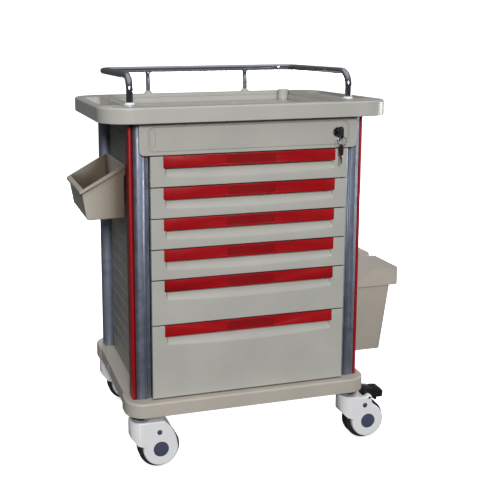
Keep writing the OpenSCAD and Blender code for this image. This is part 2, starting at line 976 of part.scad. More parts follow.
// Outline of a caster's cheek in X and Z, the swivel axis at X = 0 and the axle at X = trail
module cheek_outline(braked) {
    translate([trail + 1, wheel_r + 0.5]) circle(cover_r);
    if (braked) {
        polygon([[-shell_nose, shell_top], [-shell_nose, 84], [-13, 67], [trail, 20], [trail + 30, 60],
            [trail + 20, 86], [pedal_x + ear_r, 98], [pedal_x - 8, pedal_z + 3], [30, shell_top]]);
        translate([pedal_x, pedal_z]) circle(ear_r);
        translate([pedal_x - ear_r, pedal_z - 20]) square([2 * ear_r, 20]);
    } else {
        polygon([[-shell_nose, shell_top], [-shell_nose, 84], [-13, 67], [trail, 20], [trail + 44, 62],
            [trail + 40, 82], [trail + 30, 104], [trail + 16, shell_top - 3], [trail + 12, shell_top]]);
    }
}

// The wide block round the swivel, above the wheel
module block_outline(braked) {
    polygon([[-shell_nose, shell_top], [-shell_nose, 84], [-13, 67], [16, 62], [44, 84],
        [braked ? 37 : 66, 108], [braked ? 34 : 52, shell_top]]);
}

module caster_shell(braked) {
    pin_deep = 20;
    difference() {
        union() {
            side_on(-rim_half, rim_half) cheek_outline(braked);
            intersection() {
                side_on(-shell_half, shell_half) block_outline(braked);
                linear_extrude(2 * wheel_dia) {
                    circle(shell_half);
                    translate([0, -shell_half]) square([2 * wheel_dia, 2 * shell_half]);
                }
            }
            for (side = [0, 1]) mirror([0, side, 0]) {
                translate([trail + 1, rim_half - 0.5, wheel_r + 0.5]) rotate([-90, 0, 0]) {
                    cylinder(r1 = cover_r - 1, r2 = cap_r + 4, h = shell_half - rim_half + 0.5);
                }
            }
        }
        along_y(trail, wheel_r, slot_r, -slot_half, slot_half);
        block([-40, -slot_half, -10], [trail, slot_half, wheel_r + 10]);
        block([trail, -slot_half, -10], [wheel_dia + 40, slot_half, wheel_r]);
        translate([0, 0, stem_low - 20]) cylinder(r = stem_r + run_gap, h = 60);
        translate([0, 0, cup_low - 0.5]) cylinder(r = cup_r + 1, h = 20);
        if (braked) {
            block([pedal_x - 14, -slot_half, 98], [wheel_dia + 40, slot_half, 140]);
        }
    }
    along_y(trail, wheel_r, axle_r, -pin_deep, pin_deep);
    if (braked) {
        along_y(pedal_x, pedal_z, pedal_pin_r, -pin_deep, pin_deep);
    }
}

module caster_hub() {
    web_half = 5;
    difference() {
        union() {
            along_y(trail, wheel_r, rim_r, -wheel_half + 1, wheel_half - 1);
            along_y(trail, wheel_r, 10, -wheel_half, wheel_half);
        }
        for (from = [-wheel_half, web_half]) {
            difference() {
                along_y(trail, wheel_r, rim_r - 4, from, from + wheel_half - web_half);
                along_y(trail, wheel_r, 10, from - 1, from + wheel_half);
            }
        }
        along_y(trail, wheel_r, axle_r + run_gap, -wheel_half - 1, wheel_half + 1);
    }
}

module caster_tyre() {
    shoulder = 6;
    translate([trail, 0, wheel_r]) rotate([90, 0, 0]) rotate_extrude($fn = 96) {
        translate([rim_r, -wheel_half]) square([wheel_r - shoulder - rim_r, 2 * wheel_half]);
        translate([rim_r, -wheel_half + shoulder]) square([wheel_r - rim_r, 2 * (wheel_half - shoulder)]);
        for (side = [-1, 1]) {
            translate([wheel_r - shoulder, side * (wheel_half - shoulder)]) circle(shoulder);
        }
    }
}

// A foot lever over the wheel, with a nose that stops the tyre when it is trodden down
module brake_pedal() {
    pad_half = 20;
    difference() {
        union() {
            along_y(pedal_x, pedal_z, 6.5, -pedal_half, pedal_half);
            side_on(-pedal_half, pedal_half) {
                translate([pedal_x, pedal_z]) {
                    polygon([[-8, 4], [2, -6], [14, -8], [22, -14], [27, -12], [26, -7],
                        [26, 12], [10, 17], [-8, 19]]);
                }
            }
            side_on(-pad_half, pad_half) {
                translate([pedal_x, pedal_z]) {
                    polygon([[20, -6], [pedal_l - 1, -6], [pedal_l, 10], [pedal_l - 3, 12], [20, 14]]);
                }
            }
        }
        along_y(pedal_x, pedal_z, pedal_pin_r + run_gap, -40, 40);
    }
}

module caster_stems() {
    color(steel) place() for (x = [-1, 1], y = [-1, 1]) translate([x * caster_x, y * caster_y, 0]) {
        translate([0, 0, cup_low]) cylinder(r = cup_r, h = base_z - cup_low);
        translate([0, 0, stem_low]) cylinder(r = stem_r, h = stem_high - stem_low);
    }
}

module at_caster(x, y) {
    place() translate([x * caster_x, y * caster_y, 0]) children();
}

module caster_front_left_shell() { color(white) at_caster(-1, -1) caster_shell(false); }
module caster_front_left_hub() { color(white) at_caster(-1, -1) caster_hub(); }
module caster_front_left_tyre() { color(black) at_caster(-1, -1) caster_tyre(); }
module caster_front_right_shell() { color(white) at_caster(1, -1) caster_shell(true); }
module caster_front_right_hub() { color(white) at_caster(1, -1) caster_hub(); }
module caster_front_right_tyre() { color(black) at_caster(1, -1) caster_tyre(); }
module caster_back_left_shell() { color(white) at_caster(-1, 1) caster_shell(true); }
module caster_back_left_hub() { color(white) at_caster(-1, 1) caster_hub(); }
module caster_back_left_tyre() { color(black) at_caster(-1, 1) caster_tyre(); }
module caster_back_right_shell() { color(white) at_caster(1, 1) caster_shell(false); }
module caster_back_right_hub() { color(white) at_caster(1, 1) caster_hub(); }
module caster_back_right_tyre() { color(black) at_caster(1, 1) caster_tyre(); }
module brake_pedal_front_right() { color(black) at_caster(1, -1) brake_pedal(); }
module brake_pedal_back_left() { color(black) at_caster(-1, 1) brake_pedal(); }

base();
tabletop();
lock_fascia();
post_front_left();
post_front_right();
post_back_left();
post_back_right();
accent_strips();
side_panel_left();
side_panel_right();
back_panel();
guard_rail();
rail_collars();
drawer_channels();
bin_hanger();
side_box_hanger();
lock_bar_guides();
caster_stems();
frame_screws();
lock_barrel();
key();
key_ring();
lock_bar();
bin_front();
bin_front_lid();
bin_back();
bin_back_lid();
side_box();
drawer_1_front();
drawer_1_handle();
drawer_1_tray();
drawer_2_front();
drawer_2_handle();
drawer_2_tray();
drawer_3_front();
drawer_3_handle();
drawer_3_tray();
drawer_4_front();
drawer_4_handle();
drawer_4_tray();
drawer_5_front();
drawer_5_handle();
drawer_5_tray();
drawer_6_front();
drawer_6_handle();
drawer_6_tray();
caster_front_left_shell();
caster_front_left_hub();
caster_front_left_tyre();
caster_front_right_shell();
caster_front_right_hub();
caster_front_right_tyre();
caster_back_left_shell();
caster_back_left_hub();
caster_back_left_tyre();
caster_back_right_shell();
caster_back_right_hub();
caster_back_right_tyre();
brake_pedal_front_right();
brake_pedal_back_left();
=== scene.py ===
import json
import math

import bmesh
import bpy
from mathutils import Matrix, Vector

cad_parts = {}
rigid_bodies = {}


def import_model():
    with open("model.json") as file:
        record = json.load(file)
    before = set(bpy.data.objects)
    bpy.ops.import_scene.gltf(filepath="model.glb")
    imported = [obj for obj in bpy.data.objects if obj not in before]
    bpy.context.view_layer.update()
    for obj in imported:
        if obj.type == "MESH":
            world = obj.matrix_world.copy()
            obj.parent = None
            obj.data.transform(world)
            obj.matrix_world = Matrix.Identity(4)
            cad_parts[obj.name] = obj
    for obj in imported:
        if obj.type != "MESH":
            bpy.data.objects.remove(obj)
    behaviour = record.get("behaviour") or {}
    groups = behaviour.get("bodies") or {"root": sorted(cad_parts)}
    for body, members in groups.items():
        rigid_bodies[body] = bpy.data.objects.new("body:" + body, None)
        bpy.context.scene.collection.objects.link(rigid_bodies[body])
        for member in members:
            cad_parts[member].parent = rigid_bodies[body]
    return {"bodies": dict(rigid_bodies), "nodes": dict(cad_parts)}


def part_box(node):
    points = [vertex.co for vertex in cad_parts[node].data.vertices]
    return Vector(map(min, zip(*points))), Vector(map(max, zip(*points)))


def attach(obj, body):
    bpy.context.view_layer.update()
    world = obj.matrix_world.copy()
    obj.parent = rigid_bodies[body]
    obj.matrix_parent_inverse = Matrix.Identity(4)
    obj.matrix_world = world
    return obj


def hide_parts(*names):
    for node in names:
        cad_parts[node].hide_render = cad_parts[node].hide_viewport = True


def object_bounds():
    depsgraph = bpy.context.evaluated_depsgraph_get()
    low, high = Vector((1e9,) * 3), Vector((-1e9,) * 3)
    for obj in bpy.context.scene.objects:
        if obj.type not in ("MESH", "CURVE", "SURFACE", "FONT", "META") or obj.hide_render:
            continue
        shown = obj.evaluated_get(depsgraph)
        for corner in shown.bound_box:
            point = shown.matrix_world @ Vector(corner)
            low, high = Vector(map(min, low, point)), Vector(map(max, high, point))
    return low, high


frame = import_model()
cad_low, cad_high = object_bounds()
nodes = frame["nodes"]

MM = 0.001
table_low, table_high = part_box("tabletop")
# The cabinet's own frame: millimetres, with its origin on the floor under the table top's middle
MIDDLE = Vector(((table_low.x + table_high.x) / 2, (table_low.y + table_high.y) / 2, 0))
TO_METRES = Matrix.Translation(MIDDLE) @ Matrix.Scale(MM, 4)
TO_CABINET = TO_METRES.inverted()


def at(x, y, z):
    """A place given in cabinet mm, in metres."""
    return TO_METRES @ Vector((x, y, z))


def cabinet_box(name):
    """The low and high corners of a CAD node's box, in cabinet mm."""
    low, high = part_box(name)
    return TO_CABINET @ low, TO_CABINET @ high


# ------------------------------------------------------------------ materials

WHITE = (1, 1, 1, 1)
WORN_EDGE = 1.2 * MM
GRAIN_SIZE = 0.45 * MM
# How far the painted shade of a crevice reaches
CREVICE_SHADE_REACH = 6 * MM
# Shares of a colour that are left, from closed in to open, as painted shade: in each crevice and
# inside a deep box
CREVICE_SHADE_TONES = [(0.25, (0.42, 0.40, 0.38, 1)), (0.8, WHITE)]
HOLLOW_SHADE_TONES = [(0.45, (0.10, 0.07, 0.05, 1)), (0.75, (0.30, 0.25, 0.20, 1)), (0.96, WHITE)]


def srgb(r, g, b):
    """An 8-bit screen colour as linear values."""
    shares = (r / 255, g / 255, b / 255)
    linear = (c / 12.92 if c <= 0.04045 else ((c + 0.055) / 1.055) ** 2.4 for c in shares)
    return tuple(linear) + (1.0,)


def scaled(colour, share, lift=0.0):
    return tuple(min(1.0, c * share + lift) for c in colour[:3]) + (1.0,)


class Shader:
    """A small wrapper that adds and links nodes in one material."""

    def __init__(self, name):
        self.mat = bpy.data.materials.new(name)
        self.mat.use_nodes = True
        self.tree = self.mat.node_tree
        self.bsdf = self.tree.nodes["Principled BSDF"]
        self.coord = self.add("ShaderNodeTexCoord")

    def add(self, kind, **values):
        node = self.tree.nodes.new(kind)
        for key, value in values.items():
            setattr(node, key, value)
        return node

    def link(self, a, b):
        self.tree.links.new(a, b)

    def noise(self, scale, detail=3.0, rough=0.55, stretch=(1, 1, 1)):
        mapping = self.add("ShaderNodeMapping")
        mapping.inputs["Scale"].default_value = stretch
        tex = self.add("ShaderNodeTexNoise")
        tex.inputs["Scale"].default_value = scale
        tex.inputs["Detail"].default_value = detail
        tex.inputs["Roughness"].default_value = rough
        self.link(self.coord.outputs["Object"], mapping.inputs["Vector"])
        self.link(mapping.outputs["Vector"], tex.inputs["Vector"])
        return tex.outputs["Fac"]

    def ramp(self, fac, stops):
        node = self.add("ShaderNodeValToRGB")
        while len(node.color_ramp.elements) < len(stops):
            node.color_ramp.elements.new(0.5)
        for element, (place, colour) in zip(node.color_ramp.elements, stops):
            element.position = place
            element.color = colour
        self.link(fac, node.inputs["Fac"])
        return node.outputs["Color"]

    def span(self, fac, low, high):
        """Spreads a noise, which mostly lies between 0.3 and 0.7, from low to high."""
        node = self.add("ShaderNodeMapRange")
        node.inputs["From Min"].default_value = 0.3
        node.inputs["From Max"].default_value = 0.7
        node.inputs["To Min"].default_value = low
        node.inputs["To Max"].default_value = high
        self.link(fac, node.inputs["Value"])
        return node.outputs["Result"]

    def mix(self, fac, a, b, mode="MIX"):
        node = self.add("ShaderNodeMix", data_type="RGBA", blend_type=mode)
        for value, socket in ((fac, node.inputs[0]), (a, node.inputs[6]), (b, node.inputs[7])):
            if hasattr(value, "is_linked"):
                self.link(value, socket)
            else:
                socket.default_value = value
        return node.outputs[2]

    def bump(self, height, strength, distance):
        """Adds a bump on top of those that are already there."""
        node = self.add("ShaderNodeBump")
        node.inputs["Strength"].default_value = strength
        node.inputs["Distance"].default_value = distance
        self.link(height, node.inputs["Height"])
        normal = self.bsdf.inputs["Normal"]
        if normal.is_linked:
            self.link(normal.links[0].from_socket, node.inputs["Normal"])
        self.link(node.outputs["Normal"], normal)

    def edges(self, radius, gain):
        """High where the surface turns sharply within the radius, for wear along the edges."""
        bevel = self.add("ShaderNodeBevel", samples=4)
        bevel.inputs["Radius"].default_value = radius
        geometry = self.add("ShaderNodeNewGeometry")
        dot = self.add("ShaderNodeVectorMath", operation="DOT_PRODUCT")
        self.link(bevel.outputs["Normal"], dot.inputs[0])
        self.link(geometry.outputs["Normal"], dot.inputs[1])
        node = self.add("ShaderNodeMapRange")
        node.inputs["From Min"].default_value = 1.0
        node.inputs["From Max"].default_value = 1.0 - 1.0 / gain
        self.link(dot.outputs["Value"], node.inputs["Value"])
        return node.outputs["Result"]

    def crevice_shade(self, tone, reach, stops):
        """Painted shade: darkens a colour where other surfaces stand within reach."""
        shade = self.add("ShaderNodeAmbientOcclusion", samples=4)
        shade.inputs["Distance"].default_value = reach
        return self.mix(1.0, tone, self.ramp(shade.outputs["AO"], stops), "MULTIPLY")


def plastic(name, colour, rough=0.42, mottle=0.05, grain=0.08, wear=0.35, hollow_shade=0.0):
    """Moulded plastic: mottling, a fine grain, uneven gloss, paler rubbed edges, painted shade
    where other surfaces stand close.

    The last argument is the depth of a box whose inside is darkened with painted shade as well.
    """
    s = Shader(name)
    base = srgb(*colour)
    mottling = [(0.3, scaled(base, 1 - mottle)), (0.7, scaled(base, 1 + mottle))]
    tone = s.ramp(s.noise(9.0, 4.0), mottling)
    if wear:
        rub = s.add("ShaderNodeMath", operation="MULTIPLY")
        s.link(s.edges(WORN_EDGE, 4.0), rub.inputs[0])
        s.link(s.span(s.noise(45.0, 3.0), 0.2 * wear, wear), rub.inputs[1])
        tone = s.mix(rub.outputs[0], tone, scaled(base, 1.25, 0.03))
    # Painted shade where other surfaces stand close, in gaps and grooves
    tone = s.crevice_shade(tone, CREVICE_SHADE_REACH, CREVICE_SHADE_TONES)
    # Painted shade inside a deep box, darkest furthest in
    if hollow_shade:
        tone = s.crevice_shade(tone, hollow_shade, HOLLOW_SHADE_TONES)
    s.link(tone, s.bsdf.inputs["Base Color"])
    s.link(s.span(s.noise(26.0, 5.0), rough - 0.06, rough + 0.07), s.bsdf.inputs["Roughness"])
    s.bsdf.inputs["Specular IOR Level"].default_value = 0.45
    s.bump(s.noise(1.0 / GRAIN_SIZE, 2.0), grain, 0.12 * MM)
    s.bump(s.noise(14.0, 2.0), 0.05, 1.2 * MM)
    return s.mat


def metal(name, colour, rough, streak=0.0, along="z", smudge=0.05, sparkle=0.0, metallic=1.0):
    """Metal with smudged gloss and, when asked, drawn lines along one axis or a sparkling grain."""
    s = Shader(name)
    base = srgb(*colour)
    tone = s.ramp(s.noise(30.0, 4.0), [(0.35, scaled(base, 1 - smudge)), (0.65, base)])
    if sparkle:
        grains = s.ramp(s.noise(900.0, 2.0), [(0.35, scaled(WHITE, 1 - sparkle)), (0.65, WHITE)])
        tone = s.mix(1.0, tone, grains, "MULTIPLY")
        s.bump(s.noise(700.0, 2.0), 0.5 * sparkle, 0.2 * MM)
    s.link(tone, s.bsdf.inputs["Base Color"])
    s.bsdf.inputs["Metallic"].default_value = metallic
    s.link(s.span(s.noise(40.0, 5.0), rough * 0.8, rough * 1.35), s.bsdf.inputs["Roughness"])
    if streak:
        stretch = {"y": (1, 0.02, 1), "z": (1, 1, 0.02)}[along]
        s.bump(s.noise(1500.0, 2.0, 0.6, stretch), streak, 0.05 * MM)
    s.bump(s.noise(300.0, 2.0), 0.015, 0.05 * MM)
    return s.mat


BEIGE = plastic("abs_beige", (186, 184, 176), rough=0.34)
FRONT = plastic("abs_front", (182, 181, 173), rough=0.38, wear=0.1)
WARM = plastic("abs_warm", (186, 179, 168), rough=0.42)
PANEL = plastic("abs_panel", (150, 147, 140), rough=0.5, mottle=0.08)
TUB = plastic("abs_tub", (184, 177, 165), rough=0.42)
# The side box's plastic: the same as the bins, with painted shade inside
SHADED_BOX = plastic("abs_box_shaded", (184, 177, 165), rough=0.42, hollow_shade=90 * MM)
RED = plastic("red_strip", (164, 10, 18), rough=0.36, mottle=0.04, wear=0.1, grain=0.04)
LABEL = plastic("red_label", (140, 14, 20), rough=0.3, mottle=0.04, wear=0.0, grain=0.02)
NYLON = plastic("pale_nylon", (238, 237, 238), rough=0.33, mottle=0.03, wear=0.1)
SLATE = plastic("slate_cap", (72, 76, 98), rough=0.45, wear=0.2)
BLACK = plastic("black_plastic", (26, 26, 28), rough=0.38, wear=0.25)
RUBBER = plastic("tyre_rubber", (30, 30, 31), rough=0.72, mottle=0.12, grain=0.2, wear=0.2)
TRAY = plastic("tray_inner", (190, 187, 178), rough=0.45)
ALLOY = metal("post_alloy", (160, 168, 186), 0.5, streak=0.03, sparkle=0.42, metallic=0.82)
CHROME = metal("chrome", (172, 175, 182), 0.07, smudge=0.15)
ZINC = metal("zinc", (168, 170, 178), 0.34, streak=0.05, along="y")

# Materials of the CAD nodes that stay, by name or by the end of the name
FINISHES = {
    "side_panel_left": PANEL, "side_panel_right": PANEL, "back_panel": PANEL,
    "drawer_channels": ZINC, "bin_hanger": ZINC, "side_box_hanger": ZINC,
    "lock_bar": ZINC, "lock_bar_guides": ZINC, "lock_barrel": CHROME,
    "key": BLACK, "key_ring": CHROME, "caster_stems": CHROME,
    "brake_pedal_front_right": BLACK, "brake_pedal_back_left": BLACK,
    "bin_front": TUB, "bin_back": TUB,
}
ENDINGS = (("_handle", RED), ("_tray", TRAY), ("_hub", NYLON), ("_tyre", RUBBER))


def finish_of(name):
    """The material of a CAD node; BEIGE is left for those that a piece replaces below."""
    by_ending = next((mat for ending, mat in ENDINGS if name.endswith(ending)), BEIGE)
    return FINISHES.get(name, by_ending)


# ------------------------------------------------------------------ mesh helpers, in cabinet mm

WELD = 0.001
FLAT_WITHIN = math.radians(0.6)
ROUND_ABOVE = math.radians(32.0)


def clad(obj, mat):
    obj.data.materials.clear()
    obj.data.materials.append(mat)


def put_in_scene(name, data):
    obj = bpy.data.objects.new(name, data)
    bpy.context.scene.collection.objects.link(obj)
    return obj


def add_object(name, bm):
    """Turns a mesh being edited into an object with its faces turned outwards."""
    bmesh.ops.recalc_face_normals(bm, faces=bm.faces)
    mesh = bpy.data.meshes.new(name)
    bm.to_mesh(mesh)
    bm.free()
    return put_in_scene(name, mesh)


def piece(name, bm, mat, slot, body, *replaced, crease=38.0):
    """Turns a mesh in cabinet mm into a piece that rides on a body and may replace CAD nodes."""
    for edge in bm.edges:
        edge.smooth = len(edge.link_faces) == 2 and edge.calc_face_angle(0) < math.radians(crease)
    for face in bm.faces:
        face.smooth = True
    bm.transform(TO_METRES)
    obj = add_object(name, bm)
    clad(obj, mat)
    shade = obj.modifiers.new("shade", "WEIGHTED_NORMAL")
    shade.keep_sharp = True
    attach(obj, body)
    if replaced:
        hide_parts(*replaced)


def cad_mesh(name):
    """A copy of a CAD node's mesh with its flat faces merged, ready to be rounded."""
    bm = bmesh.new()
    bm.from_mesh(nodes[name].data)
    bm.transform(TO_CABINET)
    bmesh.ops.remove_doubles(bm, verts=bm.verts, dist=WELD)
    bmesh.ops.dissolve_limit(bm, angle_limit=FLAT_WITHIN, verts=bm.verts, edges=bm.edges)
    return bm


def round_edges(bm, width, segments, chosen):
    """Rounds the sharp edges whose two ends are both chosen."""
    edges = [e for e in bm.edges if len(e.link_faces) == 2
             and e.calc_face_angle(0) > ROUND_ABOVE and all(chosen(v.co) for v in e.verts)]
    bmesh.ops.bevel(bm, geom=edges, offset=width, offset_type="OFFSET", segments=segments,
                    profile=0.5, affect="EDGES", clamp_overlap=True)


def everywhere(point):
    return True


def on_outline(p, high, corner, side):
    """Whether a point is on the outer faces or near the corners of a plan centred on the middle."""
    x, y = abs(p.x), abs(p.y)
    return x > high.x - corner and y > high.y - corner or x > high.x - side or y > high.y - 1


def upright(u, v, t):
    return (u, v, t)


def prism(bm, outline, place, low, high):
    """A solid between two copies of a flat outline; place(u, v, t) gives a corner at depth t."""
    rings = [[bm.verts.new(place(u, v, t)) for u, v in outline] for t in (low, high)]
    for ring in rings:
        bm.faces.new(ring)
    for k in range(len(outline)):
        n = (k + 1) % len(outline)
        bm.faces.new((rings[0][k], rings[0][n], rings[1][n], rings[1][k]))


def block(a, b):
    """A box between two opposite corners."""
    bm = bmesh.new()
    prism(bm, [(a[0], a[1]), (b[0], a[1]), (b[0], b[1]), (a[0], b[1])], upright, a[2], b[2])
    return bm


def arc(cx, cy, r, start, end, steps):
    turns = [math.radians(start + (end - start) * k / steps) for k in range(steps + 1)]
    return [(cx + r * math.cos(a), cy + r * math.sin(a)) for a in turns]


def rounded_rect(w, h, r, cx=0.0, cy=0.0, steps=6):
    corners = ((1, 1, 0), (-1, 1, 90), (-1, -1, 180), (1, -1, 270))
    points = []
    for sx, sy, turn in corners:
        points += arc(cx + sx * (w / 2 - r), cy + sy * (h / 2 - r), r, turn, turn + 90, steps)
    return points


def lathe(bm, profile, origin, axis="z", steps=40, flip=1):
    """A body of revolution: profile is a list of (radius, height) along the axis."""
    origin = Vector(origin)
    u = Vector((1, 0, 0))
    v, w = {"z": ((0, 1, 0), (0, 0, 1)), "y": ((0, 0, 1), (0, 1, 0))}[axis]
    v, w = Vector(v), Vector(w) * flip
    turns = [2 * math.pi * k / steps for k in range(steps)]
    rings = []
    for r, h in profile:
        middle = origin + w * h
        if r == 0:
            rings.append([bm.verts.new(middle)])
        else:
            rings.append([bm.verts.new(middle + r * (u * math.cos(a) + v * math.sin(a)))
                          for a in turns])
    for a, b in zip(rings, rings[1:]):
        for k in range(steps):
            n = (k + 1) % steps
            corners = [a[k % len(a)], a[n % len(a)], b[n % len(b)], b[k % len(b)]]
            bm.faces.new(list(dict.fromkeys(corners)))
    for ring in (rings[0], rings[-1]):
        if len(ring) > 1:
            bm.faces.new(ring)


def poly_curve(name, dimensions, points):
    """A curve with straight stretches through points, and its one spline."""
    curve = bpy.data.curves.new(name, "CURVE")
    curve.dimensions = dimensions
    spline = curve.splines.new("POLY")
    spline.points.add(len(points) - 1)
    for target, point in zip(spline.points, points):
        target.co = (*point, 1)
    return curve, spline


def take_mesh(obj):
    """The finished mesh of an object, which is then removed."""
    bpy.context.view_layer.update()
    finished = obj.evaluated_get(bpy.context.evaluated_depsgraph_get())
    mesh = bpy.data.meshes.new_from_object(finished)
    bm = bmesh.new()
    bm.from_mesh(mesh)
    bpy.data.meshes.remove(mesh)
    bpy.data.objects.remove(obj)
    return bm


def tube(points, radius):
    """A round bar along a route, as a mesh."""
    curve, _ = poly_curve("route", "3D", points)
    curve.bevel_depth = radius
    curve.bevel_resolution = 8
    curve.use_fill_caps = True
    return take_mesh(put_in_scene("route", curve))


def cut(bm, cutters):
    """The mesh less each of the cutter meshes."""
    obj = add_object("blank", bm)
    tools = [add_object("cutter", cutter) for cutter in cutters]
    for tool in tools:
        step = obj.modifiers.new("cut", "BOOLEAN")
        step.operation = "DIFFERENCE"
        step.solver = "EXACT"
        step.object = tool
    result = take_mesh(obj)
    for tool in tools:
        bpy.data.objects.remove(tool)
    return result


# ------------------------------------------------------------------ carried-over CAD nodes

def soften(obj, width):
    """Welds the imported mesh, merges its flat faces and rounds its sharp edges."""
    weld = obj.modifiers.new("weld", "WELD")
    weld.merge_threshold = WELD * MM
    flat = obj.modifiers.new("flat", "DECIMATE")
    flat.decimate_type = "DISSOLVE"
    flat.angle_limit = FLAT_WITHIN
    turn = obj.modifiers.new("round", "BEVEL")
    turn.width = width
    turn.segments = 2
    turn.limit_method = "ANGLE"
    turn.angle_limit = ROUND_ABOVE
    turn.harden_normals = True
    turn.use_clamp_overlap = True


# How far the edges are rounded, in mm, where it isn't the usual width
USUAL_WIDTH = 0.5
WIDTHS = {"key": 0.6, "lock_barrel": 0.3, "key_ring": 0.0,
          "brake_pedal_front_right": 1.2, "brake_pedal_back_left": 1.2}

for name, node in nodes.items():
    clad(node, finish_of(name))
    for face in node.data.polygons:
        face.use_smooth = True
    width = WIDTHS.get(name, USUAL_WIDTH)
    if width:
        soften(node, width * MM)


# ------------------------------------------------------------------ table top and rail

DECK_Z = 856.0
RAIL_R = 8.0
RAIL_BEND = 36.0
RAIL_CORNER = 46.0
RAIL_LEAD = 60
SUPPORT_R = 6.0
SUPPORT_X = 140.0
# Profiles of the parts at the rail's feet: (radius beyond the rod's, height over the deck)
COLLAR = [(0.1, -1), (4.6, -1), (4.8, 1.2), (3.6, 3.6), (1.4, 5.4), (0.1, 5.8)]
SOCKET = [(0.1, -1), (8, -1), (7, 0.6), (3.4, 3.6), (1.4, 7.5), (0.1, 8)]


def tabletop():
    low, high = cabinet_box("tabletop")
    bm = cad_mesh("tabletop")
    end_strip = 340
    rim = max(v.co.z for v in bm.verts if abs(v.co.x) > end_strip)

    def outer(p):
        return on_outline(p, high, corner=76, side=1)

    round_edges(bm, 5.0, 4, lambda p: p.z > rim - 0.1 and p.z < rim + 0.1 and outer(p))
    round_edges(bm, 3.0, 3, lambda p: p.z < low.z + 0.1 and outer(p))
    round_edges(bm, 1.4, 3, lambda p: p.z > low.z + 8)
    piece("table_top", bm, BEIGE, "abs_beige", "cabinet", "tabletop")


def rail_feet(profile, radius, x, y):
    bm = bmesh.new()
    for side in (-1, 1):
        lathe(bm, [(radius + out, DECK_Z + up) for out, up in profile], (side * x, y, 0))
    return bm


def guard_rail():
    low, high = cabinet_box("guard_rail")
    x, z = high.x - RAIL_R, high.z - RAIL_R
    front, back = low.y + RAIL_R, high.y - RAIL_R
    foot = low.z
    half = [(x, front, foot), (x, front, z - RAIL_BEND - 2)]
    half += [(x, front + RAIL_BEND + u, z - RAIL_BEND + v)
             for u, v in arc(0, 0, RAIL_BEND, 180, 90, 14)]
    half += [(x, front + RAIL_BEND + RAIL_LEAD, z), (x, back - RAIL_CORNER - RAIL_LEAD, z)]
    half += [(x - RAIL_CORNER + u, back - RAIL_CORNER + v, z)
             for u, v in arc(0, 0, RAIL_CORNER, 0, 90, 16)]
    bm = tube(half + [(-p[0], p[1], p[2]) for p in reversed(half)], RAIL_R)
    under = z - RAIL_R
    support = [(SUPPORT_R, foot), (SUPPORT_R, under - 5), (SUPPORT_R + 0.6, under - 2.5),
               (SUPPORT_R + 2.2, under + 2)]
    for side in (-1, 1):
        lathe(bm, support, (side * SUPPORT_X, back, 0))
    piece("rail", bm, CHROME, "chrome", "cabinet", "guard_rail")
    piece("rail_feet", rail_feet(COLLAR, RAIL_R, x, front), NYLON, "abs_pale", "cabinet",
          "rail_collars")
    piece("rail_sockets", rail_feet(SOCKET, SUPPORT_R, SUPPORT_X, back), BEIGE, "abs_beige",
          "cabinet")


tabletop()
guard_rail()


# ------------------------------------------------------------------ posts, fascia, base

# Plan of the right posts: the inner and outer sides, and how far the rear and the face stand
# from the middle
POST_IN, POST_OUT, POST_REAR, POST_FACE = 250, 286, 158, 203
LIP_X, LIP_Y, LIP_R = 252.4, 200.6, 2.4
STRIP_SIDE = 276.6


def front_post_plan():
    """The right front post: a rolled inner lip, a flat, a slanted facet and an inner flange."""
    flange, flange_rear, flange_face = 241.5, -196.4, -198
    plan = [(POST_IN, -POST_REAR), (POST_IN, flange_rear), (flange, flange_rear)]
    plan += [(flange, flange_face), (POST_IN, flange_face)]
    plan += arc(LIP_X, -LIP_Y, LIP_R, 180, 270, 5)
    plan += [(255.2, -POST_FACE), (255.8, -202.3), (256.8, -202.3), (257.4, -POST_FACE)]
    plan += [(265.4, -POST_FACE), (266.2, -202.9), (STRIP_SIDE, -200.6), (STRIP_SIDE, -165.2)]
    plan += [(281, -165.2), (281, -POST_REAR)]
    return plan


def accent_strip_plan():
    """The right red strip, which wraps the post's front outer corner."""
    inner = STRIP_SIDE + 0.2
    corner = arc(283.0, -196.6, 3.0, -78, 0, 6)
    return [(inner, -166), (inner, -200.4)] + corner + [(POST_OUT, -166)]


def back_post_plan():
    """The right back post: the same lip, facing back, a round corner and a plain side."""
    plan = [(POST_IN, POST_REAR), (POST_IN, LIP_Y)]
    plan += arc(LIP_X, LIP_Y, LIP_R, 180, 90, 5)
    plan += [(262, POST_FACE), (263, 202.2), (264, 202.2), (265, POST_FACE), (272, POST_FACE)]
    plan += arc(275, 192, 11, 90, 0, 8)
    plan += [(POST_OUT, 184), (285.2, 183.2), (285.2, 182.2), (POST_OUT, 181.4)]
    plan += [(POST_OUT, POST_REAR)]
    return plan


def side_prism(bm, plan, sign, low, high):
    """An upright solid from a plan that is drawn for the right side; sign -1 mirrors it."""
    prism(bm, [(sign * x, y) for x, y in plan], upright, low, high)


def posts():
    low, high = cabinet_box("post_front_right")
    for place, plan in (("front", front_post_plan()), ("back", back_post_plan())):
        for side, sign in (("left", -1), ("right", 1)):
            bm = bmesh.new()
            side_prism(bm, plan, sign, low.z, high.z)
            name = f"post_{place}_{side}"
            piece(f"{name}_profile", bm, ALLOY, "post_alloy", "cabinet", name, crease=24.0)


def accent_strips():
    low, high = cabinet_box("accent_strips")
    bm = bmesh.new()
    for sign in (-1, 1):
        side_prism(bm, accent_strip_plan(), sign, low.z, high.z)
    piece("red_corner_strips", bm, RED, "abs_red", "cabinet", "accent_strips")


def fascia():
    low, high = cabinet_box("lock_fascia")
    bm = cad_mesh("lock_fascia")

    def rim(p):
        return p.y < low.y + 0.05 and (abs(p.x) > high.x - 13 or p.z < low.z + 0.05)

    round_edges(bm, 1.6, 3, rim)
    round_edges(bm, 0.3, 2, everywhere)
    piece("fascia", bm, FRONT, "abs_beige", "cabinet", "lock_fascia")


